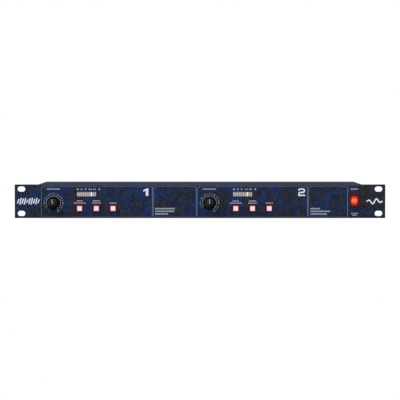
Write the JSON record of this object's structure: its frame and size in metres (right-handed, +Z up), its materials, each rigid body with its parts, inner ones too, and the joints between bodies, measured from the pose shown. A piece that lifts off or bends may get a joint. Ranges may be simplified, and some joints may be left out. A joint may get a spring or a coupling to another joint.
{
  "type": "rack compressor",
  "caption": "Rack-mounting audio compressor: slim steel case, wide aluminium front panel with knobs, level meters, lit push buttons and a rocker power switch.",
  "frame": {"origin": "centre of the front panel's rear face, where the ears meet the rack rails", "axes": "+X to the right seen from the front, +Y from the front to the back, +Z up"},
  "size_m": [0.4826, 0.2301, 0.0436],
  "materials": {
    "panel_paint": "satin",
    "case_paint": "matte",
    "dark_screw": "satin",
    "zinc_steel": "satin",
    "black_aluminium": "satin",
    "board_green": "satin",
    "brass": "satin",
    "transformer_wrap": "satin",
    "pad_rubber": "matte",
    "capacitor_sleeve": "gloss",
    "chip_black": "matte",
    "film_red": "gloss",
    "relay_white": "satin",
    "ribbon_grey": "satin",
    "wire_brown": "satin",
    "pot_metal": "satin",
    "knob_black": "matte",
    "pointer_white": "satin",
    "button_pink": "gloss",
    "bezel_black": "satin",
    "meter_grey": "satin",
    "segment_white": "satin",
    "segment_lit": "gloss",
    "rocker_red": "gloss",
    "connector_black": "satin",
    "contact_nickel": "polished",
    "contact_gold": "polished",
    "fuse_glass": "gloss",
    "slider_red": "satin",
    "shell_black": "satin"
  },
  "bodies": {
    "case": {"front_panel": "panel_paint", "panel_studs": "zinc_steel", "panel_nuts": "zinc_steel", "chassis_tray": "case_paint", "top_cover": "case_paint", "cover_screws": "dark_screw", "rear_panel": "case_paint", "rear_panel_screws": "dark_screw", "connector_screws": "zinc_steel", "main_pcb": "board_green", "pcb_standoffs": "brass", "pcb_screws": "zinc_steel", "front_pcb": "board_green", "toroidal_transformer": "transformer_wrap", "transformer_pads": "pad_rubber", "transformer_clamp": "zinc_steel", "transformer_bolt": "zinc_steel", "filter_capacitors": "capacitor_sleeve", "bridge_rectifier": "chip_black", "voltage_regulators": "chip_black", "heat_sink": "black_aluminium", "signal_ics": "chip_black", "film_capacitors": "film_red", "bypass_relays": "relay_white", "ribbon_cable": "ribbon_grey", "ribbon_headers": "chip_black", "internal_wires": "wire_brown", "potentiometer_bodies": "pot_metal", "potentiometer_nuts": "zinc_steel", "button_switch_bodies": "chip_black", "button_bezels": "bezel_black", "meter_bodies": "meter_grey", "meter_segments": "segment_white", "lit_segments": "segment_lit", "power_switch_housing": "bezel_black", "mains_inlet": "connector_black", "mains_inlet_pins": "contact_nickel", "voltage_selector": "connector_black", "xlr_input_shells": "shell_black", "xlr_output_shells": "shell_black", "xlr_inserts": "connector_black", "xlr_output_pins": "contact_gold"},
    "ch1_knob": {"ch1_knob": "knob_black", "ch1_knob_pointer": "pointer_white", "ch1_pot_shaft": "pot_metal"},
    "ch2_knob": {"ch2_knob": "knob_black", "ch2_knob_pointer": "pointer_white", "ch2_pot_shaft": "pot_metal"},
    "ch1_button_left": {"ch1_button_left": "button_pink"},
    "ch1_button_middle": {"ch1_button_middle": "button_pink"},
    "ch1_button_right": {"ch1_button_right": "button_pink"},
    "ch2_button_left": {"ch2_button_left": "button_pink"},
    "ch2_button_middle": {"ch2_button_middle": "button_pink"},
    "ch2_button_right": {"ch2_button_right": "button_pink"},
    "power_rocker": {"power_rocker": "rocker_red"},
    "fuse_drawer": {"fuse_drawer": "connector_black", "fuse": "fuse_glass"},
    "voltage_selector_slider": {"voltage_selector_slider": "slider_red"},
    "xlr_latch_1": {"xlr_latch_1": "contact_nickel"},
    "xlr_latch_2": {"xlr_latch_2": "contact_nickel"}
  },
  "joints": [
    {"name": "ch1_knob_turn", "type": "hinge", "parent": "case", "child": "ch1_knob", "pos_m": [-0.1908, 0, -0.0022], "axis": [0, 1, 0], "range_deg": [-135, 165]},
    {"name": "ch2_knob_turn", "type": "hinge", "parent": "case", "child": "ch2_knob", "pos_m": [0.0124, 0, -0.0022], "axis": [0, 1, 0], "range_deg": [-150, 150]},
    {"name": "ch1_button_left_press", "type": "slide", "parent": "case", "child": "ch1_button_left", "axis": [0, 1, 0], "range_m": [0, 0.003]},
    {"name": "ch1_button_middle_press", "type": "slide", "parent": "case", "child": "ch1_button_middle", "axis": [0, 1, 0], "range_m": [0, 0.003]},
    {"name": "ch1_button_right_press", "type": "slide", "parent": "case", "child": "ch1_button_right", "axis": [0, 1, 0], "range_m": [0, 0.003]},
    {"name": "ch2_button_left_press", "type": "slide", "parent": "case", "child": "ch2_button_left", "axis": [0, 1, 0], "range_m": [0, 0.003]},
    {"name": "ch2_button_middle_press", "type": "slide", "parent": "case", "child": "ch2_button_middle", "axis": [0, 1, 0], "range_m": [0, 0.003]},
    {"name": "ch2_button_right_press", "type": "slide", "parent": "case", "child": "ch2_button_right", "axis": [0, 1, 0], "range_m": [0, 0.003]},
    {"name": "power_rocker_tilt", "type": "hinge", "parent": "case", "child": "power_rocker", "pos_m": [0.2012, -0.0042, 0], "axis": [1, 0, 0], "range_deg": [0, 24]},
    {"name": "fuse_drawer_slide", "type": "slide", "parent": "case", "child": "fuse_drawer", "axis": [0, 1, 0], "range_m": [0, 0.016]},
    {"name": "voltage_selector_slide", "type": "slide", "parent": "case", "child": "voltage_selector_slider", "axis": [1, 0, 0], "range_m": [0, 0.006]},
    {"name": "xlr_latch_1_press", "type": "slide", "parent": "case", "child": "xlr_latch_1", "axis": [0, -1, 0], "range_m": [0, 0.0015]},
    {"name": "xlr_latch_2_press", "type": "slide", "parent": "case", "child": "xlr_latch_2", "axis": [0, -1, 0], "range_m": [0, 0.0015]}
  ]
}
